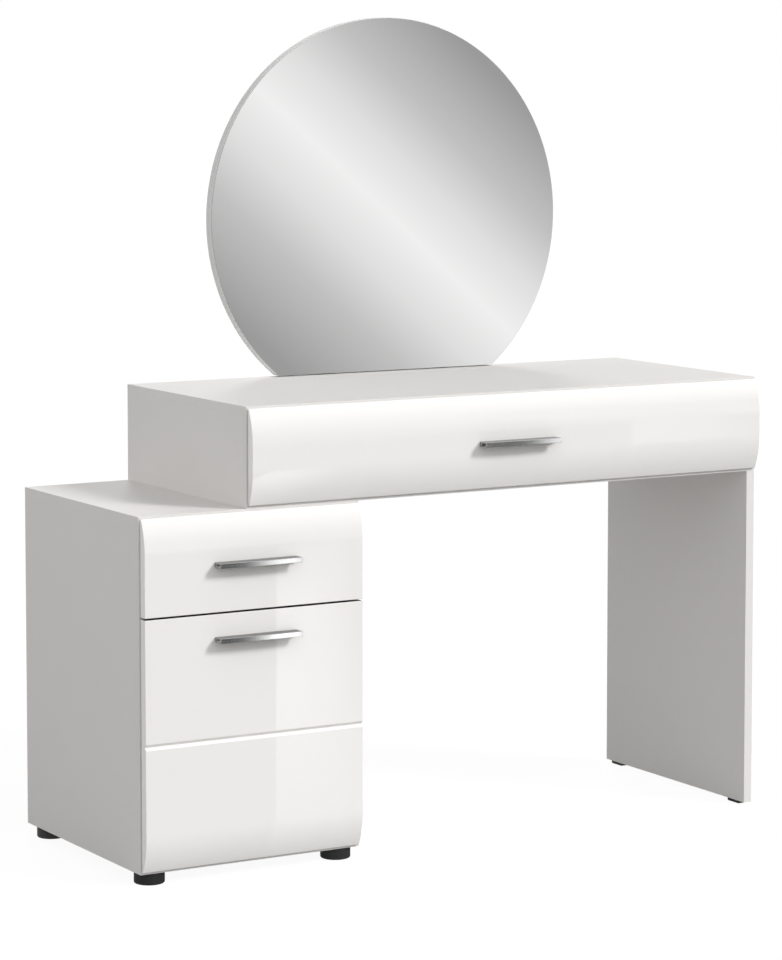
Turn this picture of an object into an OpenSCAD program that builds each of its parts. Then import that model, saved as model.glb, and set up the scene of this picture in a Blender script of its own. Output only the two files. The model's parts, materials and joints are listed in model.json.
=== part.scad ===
// Dressing table: a drawer pedestal, a wide drawer box on top of it, one leg panel
// and a round mirror that stands on the table top.
// Millimetres, +Z up, the front faces -Y. The origin is at floor level, midway
// between the two ends and midway between the handles and the mirror plates.

/* [Carcass] */
// Width over everything, from the pedestal's outer side to the leg panel's outer side
table_w = 1200; // [1000:10:1500]
// Depth of the boards, without the drawer fronts
carcass_d = 434; // [400:1:520]
// Thickness of every carcass board
board_t = 16; // [15:1:19]
// Width of the pedestal
pedestal_w = 400; // [340:5:600]
// Height of the pedestal without its feet
pedestal_h = 575; // [500:5:650]
// Height of the wide drawer box, with the table top
box_h = 165; // [150:1:200]
// How far the box's left end is set in from the pedestal's left side
box_step = 193; // [100:1:230]
// Thickness of the pedestal's hardboard back
back_t = 3; // [3:1:5]
// How far the hardboard back is set in from the rear edges
back_inset = 10; // [6:1:20]
// Depth of the grooves that hold hardboard
groove_depth = 6; // [4:1:7]

/* [Feet] */
// Height of the pedestal's round feet
foot_h = 20; // [15:1:40]
// Diameter of a foot
foot_d = 50; // [40:1:60]
// From the pedestal's left and right side to the middle of a foot
foot_inset = 29; // [26:1:60]
// From the pedestal's front edge to the middle of a front foot
foot_front_inset = 27; // [26:1:60]
// From the pedestal's rear edge to the middle of a rear foot
foot_rear_inset = 34; // [26:1:60]
// Height of the gliders under the leg panel
glider_h = 5; // [3:1:8]
// Length of a glider along the panel
glider_l = 34; // [30:1:60]
// From the panel's front or rear edge to the near end of a glider
glider_inset = 16; // [5:1:40]

/* [Drawer fronts] */
// Thickness of a front at its thickest
front_t = 16; // [14:1:22]
// Thickness of a front at a curved edge
front_edge_t = 3; // [2:1:6]
// Height over which a front curves back at its edge
front_curve_h = 60; // [40:1:70]
// Height of the small drawer's front
small_front_h = 157; // [140:1:180]
// Gap between the fronts and the edges of the carcass behind them
front_gap = 2; // [1:0.5:5]
// Board edge that shows to the left and right of a front
side_reveal = 2; // [0:0.5:4]
// Gap between the small and the deep front
split_gap = 3; // [2:0.5:5]
// Board edge that shows above the fronts
top_reveal = 3; // [0:0.5:5]
// Board edge that shows below the deep front
deep_reveal = 4; // [1:0.5:6]
// Board edge that shows below the wide front
wide_reveal = 5; // [1:0.5:6]
// Width of the groove milled across the deep front
milled_w = 9; // [3:0.5:12]
// Depth of the groove milled across the deep front
milled_d = 4.5; // [1:0.5:6]
// From the lower edge of the deep front up to the middle of its groove
milled_rise = 204; // [100:1:300]

/* [Handles] */
// Length of a handle
handle_l = 148; // [136:1:200]
// How far a handle stands out from its front
handle_d = 24; // [20:1:30]
// Height of a handle
handle_h = 8; // [6:0.5:12]
// How far a handle's front edge bows out in its middle
handle_bow = 2; // [0.5:0.5:4]
// Thickness of the handle's top plate
handle_plate_t = 2.2; // [1.6:0.1:2.4]
// Thickness of the handle's front lip
handle_lip_t = 2.6; // [2:0.1:4]
// Depth of the solid rail that takes the handle screws
handle_rail_d = 7; // [6.5:0.5:9]
// Distance between the two handle screws
handle_pitch = 128; // [96:32:128]
// From the middle of the small and the wide front down to the middle of its handle
handle_drop = 1.5; // [0:0.5:30]
// From the top of the deep front down to the middle of its handle
deep_handle_drop = 40.5; // [25:0.5:80]

/* [Drawer boxes] */
// Thickness of the drawer sides and backs
side_t = 12; // [10:1:16]
// Length of the drawer sides, behind the front
side_l = 350; // [340:1:360]
// Height of the small drawer's sides
small_side_h = 100; // [80:1:110]
// Height of the deep drawer's sides
deep_side_h = 260; // [120:1:330]
// Height of the wide drawer's sides
wide_side_h = 90; // [60:1:100]
// From the front's lower edge up to the sides of the small drawer
small_rise = 15; // [10:1:24]
// From the front's lower edge up to the sides of the deep drawer
deep_rise = 21; // [20:1:40]
// From the front's lower edge up to the sides of the wide drawer
wide_rise = 19; // [19:1:24]
// Thickness of the two narrow drawer bottoms
bottom_t = 3; // [3:0.5:5]
// Thickness of the wide drawer's bottom
wide_bottom_t = 5; // [3:0.5:6]
// From the lower edge of the sides up to the drawer bottom
bottom_up = 10; // [8:1:16]

/* [Runners] */
// Width of the space for a runner, between a drawer and the carcass
runner_w = 12.5; // [12.5:0.1:14]
// Thickness of the runner steel
runner_steel = 1.2; // [1:0.1:1.3]
// Length of the runners
runner_l = 350; // [335:1:352]
// From the carcass edges back to the fixed runners
runner_setback = 2; // [1:0.5:10]
// Diameter of the runner rollers
roller_d = 16; // [15:0.5:17]
// Width of the runner rollers
roller_w = 6; // [5:0.1:6.2]
// Diameter of the pins that carry the rollers
roller_pin_d = 4; // [3:0.1:5]
// How far a drawer pulls out
travel = 255; // [200:1:260]

/* [Mirror] */
// Diameter of the mirror's backing board
mirror_d = 702; // [500:2:900]
// Height of the mirror's centre above the table top
mirror_rise = 276; // [200:1:340]
// Thickness of the backing board
mirror_board_t = 16; // [12:1:19]
// Thickness of the mirror glass
glass_t = 4; // [3:1:6]
// Rim of the backing board that shows round the glass
glass_margin = 0; // [0:0.5:12]
// Gap between the mirror and the table top
mirror_gap = 2; // [0:0.5:4]
// Thickness of the steel plates that hold the mirror
plate_t = 2; // [1.5:0.5:4]
// Width of the steel plates
plate_w = 30; // [20:1:40]
// Height of the steel plates
plate_h = 160; // [120:2:200]
// Distance between the middles of the two plates
plate_pitch = 240; // [100:10:360]

/* [Fittings] */
// Diameter of the cam locks
cam_d = 15; // [12:1:18]
// From a joint to the middle of its cam lock
cam_setback = 24; // [20:1:34]
// Diameter of the cam bolts
bolt_d = 7; // [5:0.5:8]
// Diameter of the threaded end of a cam bolt
bolt_thread_d = 5; // [4:0.5:6]
// Length of the threaded end of a cam bolt
bolt_thread_l = 11; // [8:1:12]
// Diameter of the wooden dowels
dowel_d = 8; // [6:1:10]
// How far a dowel reaches into the face of a board
dowel_face_l = 11; // [8:1:12]
// How far a dowel reaches into the edge of a board
dowel_edge_l = 19; // [15:1:24]
// From the board edges to the first cam bolt of a joint
fitting_inset = 90; // [80:1:120]
// From a cam bolt to the dowel beside it
dowel_step = 32; // [24:1:48]
// Diameter of the wood screws
screw_d = 4; // [3:0.5:5]
// Diameter of the wood screws' countersunk heads
screw_head_d = 7.5; // [7:0.5:9]
// Diameter of the handle screws
handle_screw_d = 4; // [3:0.5:4]

/* [Hidden] */

$fn = 64;
// Smoothness of the large arcs
arc_fn = 240;
// Cuts run past the faces they open by this much
past = 1;
// Play between a fitting and its hole, and between a panel and its groove
play = 0.1;
// Running play between a roller and its pin
pin_play = 0.05;
// Space between pieces that pass each other
pass_gap = 0.3;

WHITE = "#f3f3f1";
GLOSS = "#fafaf8";
STEEL = "#b8babc";
BLACK = "#222222";
HARDBOARD = "#e9e8e4";
NYLON = "#f0efe8";
BEECH = "#cda672";
GLASS = "#aab4b8";

ped_z = foot_h;
ped_top_z = foot_h + pedestal_h;
table_z = ped_top_z + box_h;
ped_in = [board_t, pedestal_w - board_t];
box_in = [box_step + board_t, table_w - board_t];
under_top_z = table_z - board_t;
under_ped_top_z = ped_top_z - board_t;
box_floor_z = ped_top_z + board_t;

// The front of everything is the handles, the rear is the mirror plates
front_y = -front_gap - front_t - handle_d;
rear_y = carcass_d + plate_t;
mid = [table_w / 2, (front_y + rear_y) / 2];

// Middle planes of the upper and the lower fittings, front and rear
fit_y = [fitting_inset, carcass_d - fitting_inset];
dowel_y = [fitting_inset + dowel_step, carcass_d - fitting_inset - dowel_step];
cam_t = board_t / 2 + bolt_d / 2 + 1;

// Each drawer: the carcass opening's two sides, the front's two ends, the front's
// lower and upper edge, the lower edge and the height of its sides, the thickness
// of its bottom, the height of its handle, and whether the front curves below
SMALL = [
    ped_in, [side_reveal, pedestal_w - side_reveal],
    [ped_top_z - top_reveal - small_front_h, ped_top_z - top_reveal],
    ped_top_z - top_reveal - small_front_h + small_rise, small_side_h, bottom_t,
    ped_top_z - top_reveal - small_front_h / 2 - handle_drop, false, true
];
deep_top_z = SMALL[2][0] - split_gap;
DEEP = [
    ped_in, [side_reveal, pedestal_w - side_reveal], [ped_z + deep_reveal, deep_top_z],
    ped_z + deep_reveal + deep_rise, deep_side_h, bottom_t,
    deep_top_z - deep_handle_drop, true, false
];
WIDE = [
    box_in, [box_step + side_reveal, table_w - side_reveal],
    [ped_top_z + wide_reveal, table_z - top_reveal],
    ped_top_z + wide_reveal + wide_rise, wide_side_h, wide_bottom_t,
    (ped_top_z + wide_reveal + table_z - top_reveal) / 2 - handle_drop, true, true
];
DRAWERS = [SMALL, DEEP, WIDE];

function opening(d) = d[0];
function front_x(d) = d[1];
function front_z(d) = d[2];
function side_z(d) = d[3];
function side_h(d) = d[4];
function floor_t(d) = d[5];
function handle_z(d) = d[6];
function curved_below(d) = d[7];
function curved_above(d) = d[8];
function handle_x(d) = (front_x(d)[0] + front_x(d)[1]) / 2;
// Outer faces of the drawer's sides
function box_x(d) = [opening(d)[0] + runner_w, opening(d)[1] - runner_w];
front_back_y = -front_gap;
front_face_y = -front_gap - front_t;
side_end_y = front_back_y + side_l;

// Runner section, measured up from the lower edge of the drawer's sides. The rear
// roller rolls on the fixed channel's floor, the track lies on the front roller.
rear_axis_z = roller_d / 2 + pass_gap;
lip_z = roller_d + 2 * pass_gap;
track_z = lip_z + runner_steel + 2.5 * pass_gap;
front_axis_z = track_z - pass_gap - roller_d / 2;
pin_head_d = roller_pin_d + 3;
pin_head_t = 0.6;
// From the carcass side to the near face of the roller on the fixed runner
front_roller_x = runner_steel + 5 * pass_gap;
// From the carcass side to the near face of the roller on the drawer's runner
rear_roller_x = runner_steel + pin_head_t + 2 * pass_gap;
// Inward reach of the fixed channel
channel_w = runner_w - runner_steel - 1;
lip_w = 4;
flange_w = 10;
// From a runner's end to the middle of its roller
roller_end = 11;
front_roller_y = runner_setback + roller_end;
rear_roller_y = side_end_y - roller_end - pass_gap;
stop_t = 3;
stop_h = 6;
stop_y = rear_roller_y - travel - roller_d / 2 - 2 * pass_gap;
runner_hole_y = [for (k = [0.22, 0.52, 0.82]) runner_setback + k * runner_l];
runner_hole_z = rear_axis_z;
runner_screw_l = 12;
runner_head_d = 6.5;
runner_shank_d = 3.5;

mirror_x = (box_step + table_w) / 2;
mirror_z = table_z + mirror_rise;
mirror_low_z = table_z + mirror_gap;
plate_x = [mirror_x - plate_pitch / 2, mirror_x + plate_pitch / 2];
plate_z = table_z - board_t / 2;
// Screws of a plate: two in the box's back, two in the mirror's board
plate_screw_z = [
    plate_z - 0.44 * plate_h, plate_z - 0.25 * plate_h,
    plate_z + 0.25 * plate_h, plate_z + 0.44 * plate_h
];
plate_screw_l = 14;

back_y = carcass_d - back_inset - back_t;
foot_rim = 2.5;
foot_places = [
    for (x = [foot_inset, pedestal_w - foot_inset], y = [foot_front_inset, carcass_d - foot_rear_inset])
        [x, y]
];
spigot_d = 8;
spigot_l = 11;
glider_y = [glider_inset, carcass_d - glider_inset - glider_l];
glider_play = 1;
glider_w = board_t - 2 * glider_play;
glider_rim = 2.5;
glider_spigot_d = 5;
glider_spigot_l = 10;
joining_l = board_t + 12;
joining_x = [box_in[0] + 31, ped_in[1] - 24];
joining_y = [40, carcass_d - 60];
handle_head_d = 8;
handle_head_t = 2.4;
handle_hole_l = handle_rail_d - 1;

// Heights of the fittings between the box's back and its two sides
back_mid_z = (box_floor_z + under_top_z) / 2;
back_dowel_z = [back_mid_z - dowel_step, back_mid_z + dowel_step];

// Places of the cam fittings: a point on the joint plane, the way into the board
// that holds the cam, and the way to the face in which the cam shows
CAMS = concat(
    [for (y = fit_y) [[board_t / 2, y, under_ped_top_z], [0, 0, -1], [1, 0, 0]]],
    [for (y = fit_y) [[pedestal_w - board_t / 2, y, under_ped_top_z], [0, 0, -1], [-1, 0, 0]]],
    [for (y = fit_y) [[ped_in[0], y, ped_z + board_t / 2], [1, 0, 0], [0, 0, -1]]],
    [for (y = fit_y) [[ped_in[1], y, ped_z + board_t / 2], [-1, 0, 0], [0, 0, -1]]],
    [for (y = fit_y) [[box_step + board_t / 2, y, under_top_z], [0, 0, -1], [1, 0, 0]]],
    [for (y = fit_y) [[table_w - board_t / 2, y, under_top_z], [0, 0, -1], [-1, 0, 0]]],
    [for (y = fit_y) [[box_in[0], y, ped_top_z + board_t / 2], [1, 0, 0], [0, 0, -1]]],
    [for (y = fit_y) [[box_in[1], y, ped_top_z + board_t / 2], [-1, 0, 0], [0, 0, -1]]],
    [[[box_in[0], carcass_d - board_t / 2, back_mid_z], [1, 0, 0], [0, -1, 0]]],
    [[[box_in[1], carcass_d - board_t / 2, back_mid_z], [-1, 0, 0], [0, -1, 0]]]
);

// Places of the dowels: a point on the joint plane and the way into the board edge
DOWELS = concat(
    [for (y = dowel_y) [[board_t / 2, y, under_ped_top_z], [0, 0, -1]]],
    [for (y = dowel_y) [[pedestal_w - board_t / 2, y, under_ped_top_z], [0, 0, -1]]],
    [for (y = dowel_y) [[ped_in[0], y, ped_z + board_t / 2], [1, 0, 0]]],
    [for (y = dowel_y) [[ped_in[1], y, ped_z + board_t / 2], [-1, 0, 0]]],
    [for (y = dowel_y) [[box_step + board_t / 2, y, under_top_z], [0, 0, -1]]],
    [for (y = dowel_y) [[table_w - board_t / 2, y, under_top_z], [0, 0, -1]]],
    [for (y = dowel_y) [[box_in[0], y, ped_top_z + board_t / 2], [1, 0, 0]]],
    [for (y = dowel_y) [[box_in[1], y, ped_top_z + board_t / 2], [-1, 0, 0]]],
    [for (z = back_dowel_z) [[box_in[0], carcass_d - board_t / 2, z], [1, 0, 0]]],
    [for (z = back_dowel_z) [[box_in[1], carcass_d - board_t / 2, z], [-1, 0, 0]]]
);

// Moves the table frame, with X from the pedestal's outer side and Y from the
// carcass's front edges, to the origin
module placed() {
    translate([-mid[0], -mid[1], 0]) children();
}

// A rod from a point along a vector
module rod(at, along, d) {
    l = norm(along);
    translate(at) rotate([0, acos(along.z / l), atan2(along.y, along.x)]) cylinder(h = l, d = d);
}

// A cone from a point along a vector, with its two diameters
module taper(at, along, d1, d2) {
    l = norm(along);
    translate(at) rotate([0, acos(along.z / l), atan2(along.y, along.x)])
        cylinder(h = l, d1 = d1, d2 = d2);
}

// A block between two corners
module block(a, b) {
    translate(a) cube(b - a);
}

// Holes for one cam fitting
module cam_hole(c) {
    rod(c[0] - c[1] * (bolt_thread_l + play), c[1] * (bolt_thread_l + past), bolt_thread_d + 2 * play);
    rod(c[0], c[1] * cam_setback, bolt_d + 2 * play);
    rod(c[0] + c[1] * cam_setback + c[2] * (board_t / 2 + past), -c[2] * (cam_t + play + past),
        cam_d + 2 * play);
}

// Hole for one dowel
module dowel_hole(w) {
    rod(w[0] - w[1] * (dowel_face_l + play), w[1] * (dowel_face_l + dowel_edge_l + 2 * play),
        dowel_d + 2 * play);
}

// Every hole for the fittings of the pedestal and of the box
module fitting_holes() {
    for (c = CAMS) cam_hole(c);
    for (w = DOWELS) dowel_hole(w);
}

// Holes for the screws of the fixed runners in the carcass sides
module runner_screw_holes() {
    for (d = DRAWERS, side = [0, 1], y = runner_hole_y) {
        inward = side == 0 ? 1 : -1;
        rod([opening(d)[side] + inward * past, y, side_z(d) + runner_hole_z],
            [-inward * (runner_screw_l + past + play), 0, 0], runner_shank_d + 2 * play);
    }
}

// Groove round the inside of the pedestal for its hardboard back
module back_groove() {
    block([ped_in[0] - groove_depth, back_y - play, ped_z + board_t - groove_depth],
        [ped_in[1] + groove_depth, back_y + back_t + play, under_ped_top_z + groove_depth]);
}

// Carcass boards
module table_top() {
    color(WHITE) placed() difference() {
        block([box_step, 0, under_top_z], [table_w, carcass_d, table_z]);
        fitting_holes();
    }
}

module box_side_left() {
    color(WHITE) placed() difference() {
        block([box_step, 0, ped_top_z], [box_in[0], carcass_d, under_top_z]);
        fitting_holes();
        runner_screw_holes();
    }
}

module box_bottom() {
    color(WHITE) placed() difference() {
        block([box_in[0], 0, ped_top_z], [box_in[1], carcass_d, box_floor_z]);
        fitting_holes();
        joining_holes();
    }
}

module box_back() {
    color(WHITE) placed() difference() {
        block([box_in[0], carcass_d - board_t, box_floor_z], [box_in[1], carcass_d, under_top_z]);
        fitting_holes();
        plate_screw_holes();
    }
}

module leg_panel() {
    color(WHITE) placed() difference() {
        block([box_in[1], 0, glider_h], [table_w, carcass_d, under_top_z]);
        fitting_holes();
        runner_screw_holes();
        for (y = glider_y, k = [0.25, 0.75])
            rod([table_w - board_t / 2, y + k * glider_l, glider_h - past],
                [0, 0, glider_spigot_l + past + play], glider_spigot_d + 2 * play);
    }
}

// Side outline of a glider, with its lower corners rounded
module glider_outline() {
    translate([0, glider_rim]) square([glider_l, glider_h - glider_rim]);
    translate([glider_rim, 0]) square([glider_l - 2 * glider_rim, glider_h]);
    for (x = [glider_rim, glider_l - glider_rim]) translate([x, glider_rim]) circle(glider_rim);
}

module leg_gliders() {
    color(BLACK) placed() for (y = glider_y) {
        translate([box_in[1] + glider_play, y, 0]) rotate([90, 0, 90])
            linear_extrude(glider_w) glider_outline();
        for (k = [0.25, 0.75])
            rod([table_w - board_t / 2, y + k * glider_l, glider_h / 2],
                [0, 0, glider_h / 2 + glider_spigot_l], glider_spigot_d);
    }
}

module pedestal_top() {
    color(WHITE) placed() difference() {
        block([0, 0, under_ped_top_z], [pedestal_w, carcass_d, ped_top_z]);
        fitting_holes();
        joining_holes();
        back_groove();
    }
}

module pedestal_bottom() {
    color(WHITE) placed() difference() {
        block([ped_in[0], 0, ped_z], [ped_in[1], carcass_d, ped_z + board_t]);
        fitting_holes();
        back_groove();
        for (p = foot_places)
            rod([p.x, p.y, ped_z - past], [0, 0, spigot_l + past + play], spigot_d + 2 * play);
    }
}

module pedestal_side(x) {
    color(WHITE) placed() difference() {
        block([x, 0, ped_z], [x + board_t, carcass_d, under_ped_top_z]);
        fitting_holes();
        runner_screw_holes();
        back_groove();
    }
}

module pedestal_side_left() { pedestal_side(0); }
module pedestal_side_right() { pedestal_side(ped_in[1]); }

module pedestal_back() {
    color(HARDBOARD) placed()
        block([ped_in[0] - groove_depth + play, back_y, ped_z + board_t - groove_depth + play],
            [ped_in[1] + groove_depth - play, back_y + back_t, under_ped_top_z + groove_depth - play]);
}

// Round feet with a rounded lower rim and a spigot pressed into the bottom board
module foot() {
    rotate_extrude() {
        square([foot_d / 2 - foot_rim, foot_h]);
        translate([0, foot_rim]) square([foot_d / 2, foot_h - foot_rim]);
        translate([foot_d / 2 - foot_rim, foot_rim]) circle(foot_rim);
    }
    cylinder(h = foot_h + spigot_l, d = spigot_d);
}

module pedestal_feet() {
    color(BLACK) placed() for (p = foot_places) translate([p.x, p.y, 0]) foot();
}

// Mirror
module disc(r, y0, y1) {
    intersection() {
        rod([mirror_x, y0, mirror_z], [0, y1 - y0, 0], 2 * r, $fn = arc_fn);
        block([mirror_x - r - past, y0 - past, mirror_low_z],
            [mirror_x + r + past, y1 + past, mirror_z + r + past]);
    }
}

module mirror_board() {
    color(WHITE) placed() difference() {
        disc(mirror_d / 2, carcass_d - mirror_board_t, carcass_d);
        plate_screw_holes();
    }
}

module mirror_glass() {
    color(GLASS) placed()
        disc(mirror_d / 2 - glass_margin, carcass_d - mirror_board_t - glass_t, carcass_d - mirror_board_t);
}

module plate_screw_holes() {
    for (x = plate_x, z = plate_screw_z)
        rod([x, carcass_d + past, z], [0, -plate_screw_l - past, 0], screw_d + 2 * play);
}

module mirror_plates() {
    color(STEEL) placed() for (x = plate_x) difference() {
        block([x - plate_w / 2, carcass_d, plate_z - plate_h / 2],
            [x + plate_w / 2, carcass_d + plate_t, plate_z + plate_h / 2]);
        for (z = plate_screw_z) {
            taper([x, carcass_d + plate_t, z], [0, -plate_t, 0],
                screw_head_d + 2 * play, screw_d + 2 * play);
            rod([x, carcass_d - past, z], [0, plate_t + 2 * past, 0], screw_d + 2 * play);
        }
    }
}

module mirror_screws() {
    color(STEEL) placed() for (x = plate_x, z = plate_screw_z) {
        taper([x, carcass_d + plate_t, z], [0, -plate_t, 0], screw_head_d, screw_d);
        rod([x, carcass_d + plate_t / 2, z], [0, play - plate_screw_l - plate_t / 2, 0], screw_d);
    }
}

// Fittings of the carcass
module cam_lock(c) {
    face = c[0] + c[1] * cam_setback + c[2] * (board_t / 2 - play);
    slot = [for (k = [0, 1, 2]) c[1][k] != 0 ? cam_d * 0.5 : (c[2][k] != 0 ? 2.4 : 1.6)];
    difference() {
        rod(face, -c[2] * cam_t, cam_d);
        rod(c[0], c[1] * (cam_setback + cam_d / 4), bolt_d + 2 * play);
        translate(face) cube(slot, center = true);
    }
}

module cam_locks() {
    color(STEEL) placed() for (c = CAMS) cam_lock(c);
}

module cam_bolts() {
    color(STEEL) placed() for (c = CAMS) {
        rod(c[0], c[1] * (cam_setback + cam_d / 4 - play), bolt_d);
        rod(c[0] - c[1] * bolt_thread_l, c[1] * (bolt_thread_l + past), bolt_thread_d);
    }
}

module dowels() {
    color(BEECH) placed() for (w = DOWELS)
        rod(w[0] - w[1] * dowel_face_l, w[1] * (dowel_face_l + dowel_edge_l), dowel_d);
}

// Screws from inside the pedestal up through its top into the bottom of the box
module joining_holes() {
    for (x = joining_x, y = joining_y) {
        rod([x, y, under_ped_top_z - past], [0, 0, joining_l + past + play], screw_d + 2 * play);
        taper([x, y, under_ped_top_z], [0, 0, screw_head_d / 2], screw_head_d + 2 * play, 2 * play);
    }
}

module joining_screws() {
    color(STEEL) placed() for (x = joining_x, y = joining_y) {
        rod([x, y, under_ped_top_z], [0, 0, joining_l], screw_d);
        taper([x, y, under_ped_top_z], [0, 0, (screw_head_d - screw_d) / 2], screw_head_d, screw_d);
    }
}

module runner_screws() {
    color(STEEL) placed() for (d = DRAWERS, side = [0, 1], y = runner_hole_y) {
        inward = side == 0 ? 1 : -1;
        at = [opening(d)[side], y, side_z(d) + runner_hole_z];
        taper(at + [inward * (runner_steel - play), 0, 0], [-inward * (runner_steel - play), 0, 0],
            runner_head_d - 2 * play, runner_shank_d);
        rod(at + [inward * runner_steel / 2, 0, 0],
            [-inward * (runner_steel / 2 + runner_screw_l), 0, 0], runner_shank_d);
    }
}

// Section of a drawer front, X outwards and Y up, with its edges curved back
module front_section(h, below, above) {
    drop = front_t - front_edge_t;
    r = (pow(front_curve_h, 2) + pow(drop, 2)) / (2 * drop);
    low = below ? front_curve_h : 0;
    high = above ? h - front_curve_h : h;
    translate([0, low]) square([front_t, high - low]);
    if (below) intersection() {
        square([front_t, low]);
        translate([front_t - r, low]) circle(r, $fn = arc_fn);
    }
    if (above) intersection() {
        translate([0, high]) square([front_t, h - high]);
        translate([front_t - r, high]) circle(r, $fn = arc_fn);
    }
}

module drawer_front(d) {
    x = front_x(d);
    z = front_z(d);
    box = box_x(d);
    difference() {
        translate([x[1], front_back_y, z[0]]) rotate([90, 0, -90])
            linear_extrude(x[1] - x[0]) front_section(z[1] - z[0], curved_below(d), curved_above(d));
        for (k = [-1, 1])
            rod([handle_x(d) + k * handle_pitch / 2, front_back_y + past, handle_z(d)],
                [0, -front_t - 2 * past, 0], handle_screw_d + 4 * play);
        block([box[0] + side_t - groove_depth - play, front_back_y - groove_depth,
                side_z(d) + bottom_up - play],
            [box[1] - side_t + groove_depth + play, front_back_y + past,
                side_z(d) + bottom_up + floor_t(d) + play]);
    }
}

module small_drawer_front() { color(GLOSS) placed() drawer_front(SMALL); }
module wide_drawer_front() { color(GLOSS) placed() drawer_front(WIDE); }

// The deep front has a groove milled across its middle
module deep_drawer_front() {
    z = front_z(DEEP)[0] + milled_rise;
    color(GLOSS) placed() difference() {
        drawer_front(DEEP);
        translate([pedestal_w + past, front_face_y, z]) rotate([90, 0, -90])
            linear_extrude(pedestal_w + 2 * past)
                polygon([[-milled_d, 0], [past, milled_w / 2 + past * milled_w / milled_d / 2],
                    [past, -milled_w / 2 - past * milled_w / milled_d / 2]]);
    }
}

// Drawer side: k is 0 for the left and 1 for the right
module drawer_side(d, k) {
    x = k == 0 ? box_x(d)[0] : box_x(d)[1] - side_t;
    color(WHITE) placed() difference() {
        block([x, front_back_y, side_z(d)], [x + side_t, side_end_y, side_z(d) + side_h(d)]);
        bottom_groove(d);
    }
}

module bottom_groove(d) {
    x = box_x(d);
    block([x[0] + side_t - groove_depth - play, front_back_y - past, side_z(d) + bottom_up - play],
        [x[1] - side_t + groove_depth + play, side_end_y + past, side_z(d) + bottom_up + floor_t(d) + play]);
}

module drawer_back(d) {
    x = box_x(d);
    color(WHITE) placed()
        block([x[0] + side_t, side_end_y - side_t, side_z(d) + bottom_up + floor_t(d)],
            [x[1] - side_t, side_end_y, side_z(d) + side_h(d)]);
}

module drawer_bottom(d) {
    x = box_x(d);
    color(HARDBOARD) placed()
        block([x[0] + side_t - groove_depth, front_back_y - groove_depth + play, side_z(d) + bottom_up],
            [x[1] - side_t + groove_depth, side_end_y, side_z(d) + bottom_up + floor_t(d)]);
}

module small_drawer_side_left() { drawer_side(SMALL, 0); }
module small_drawer_side_right() { drawer_side(SMALL, 1); }
module small_drawer_back() { drawer_back(SMALL); }
module small_drawer_bottom() { drawer_bottom(SMALL); }
module deep_drawer_side_left() { drawer_side(DEEP, 0); }
module deep_drawer_side_right() { drawer_side(DEEP, 1); }
module deep_drawer_back() { drawer_back(DEEP); }
module deep_drawer_bottom() { drawer_bottom(DEEP); }
module wide_drawer_side_left() { drawer_side(WIDE, 0); }
module wide_drawer_side_right() { drawer_side(WIDE, 1); }
module wide_drawer_back() { drawer_back(WIDE); }
module wide_drawer_bottom() { drawer_bottom(WIDE); }

// Plan of a handle from the front of its drawer to its bowed edge, less the depth cut off it
module handle_plan(cut) {
    r = (pow(handle_l / 2, 2) + pow(handle_bow, 2)) / (2 * handle_bow);
    intersection() {
        translate([-handle_l / 2, 0]) square([handle_l, handle_d]);
        translate([0, handle_d - r]) circle(r - cut, $fn = 3 * arc_fn);
    }
}

// Handle: a metal profile with a screw rail against the front, a bowed top plate and a lip
module handle(d) {
    color(STEEL) placed() difference() {
        translate([handle_x(d), front_face_y, handle_z(d) - handle_h / 2]) mirror([0, 1, 0]) {
            translate([-handle_l / 2, 0, 0]) cube([handle_l, handle_rail_d, handle_h]);
            translate([0, 0, handle_h - handle_plate_t]) linear_extrude(handle_plate_t) handle_plan(0);
            linear_extrude(handle_h - handle_plate_t) difference() {
                handle_plan(0);
                handle_plan(handle_lip_t);
            }
        }
        for (k = [-1, 1])
            rod([handle_x(d) + k * handle_pitch / 2, front_face_y + past, handle_z(d)],
                [0, -handle_hole_l - past, 0], handle_screw_d + 2 * play);
    }
}

module handle_screws(d) {
    color(STEEL) placed() for (k = [-1, 1]) {
        at = [handle_x(d) + k * handle_pitch / 2, front_back_y, handle_z(d)];
        rod(at, [0, -front_t - handle_hole_l + play, 0], handle_screw_d);
        difference() {
            rod(at, [0, handle_head_t, 0], handle_head_d);
            for (turn = [0, 90])
                translate(at + [0, handle_head_t, 0]) rotate([0, turn, 0])
                    cube([handle_head_d * 0.6, handle_head_t, 1], center = true);
        }
    }
}

module small_handle() { handle(SMALL); }
module deep_handle() { handle(DEEP); }
module wide_handle() { handle(WIDE); }
module small_handle_screws() { handle_screws(SMALL); }
module deep_handle_screws() { handle_screws(DEEP); }
module wide_handle_screws() { handle_screws(WIDE); }

// Places what is drawn for a left runner, with X inwards from the carcass side and
// Z up from the lower edge of the drawer's sides, at side k of drawer d
module at_runner(d, k) {
    placed() translate([opening(d)[k], 0, side_z(d)]) mirror([k, 0, 0]) children();
}

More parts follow.
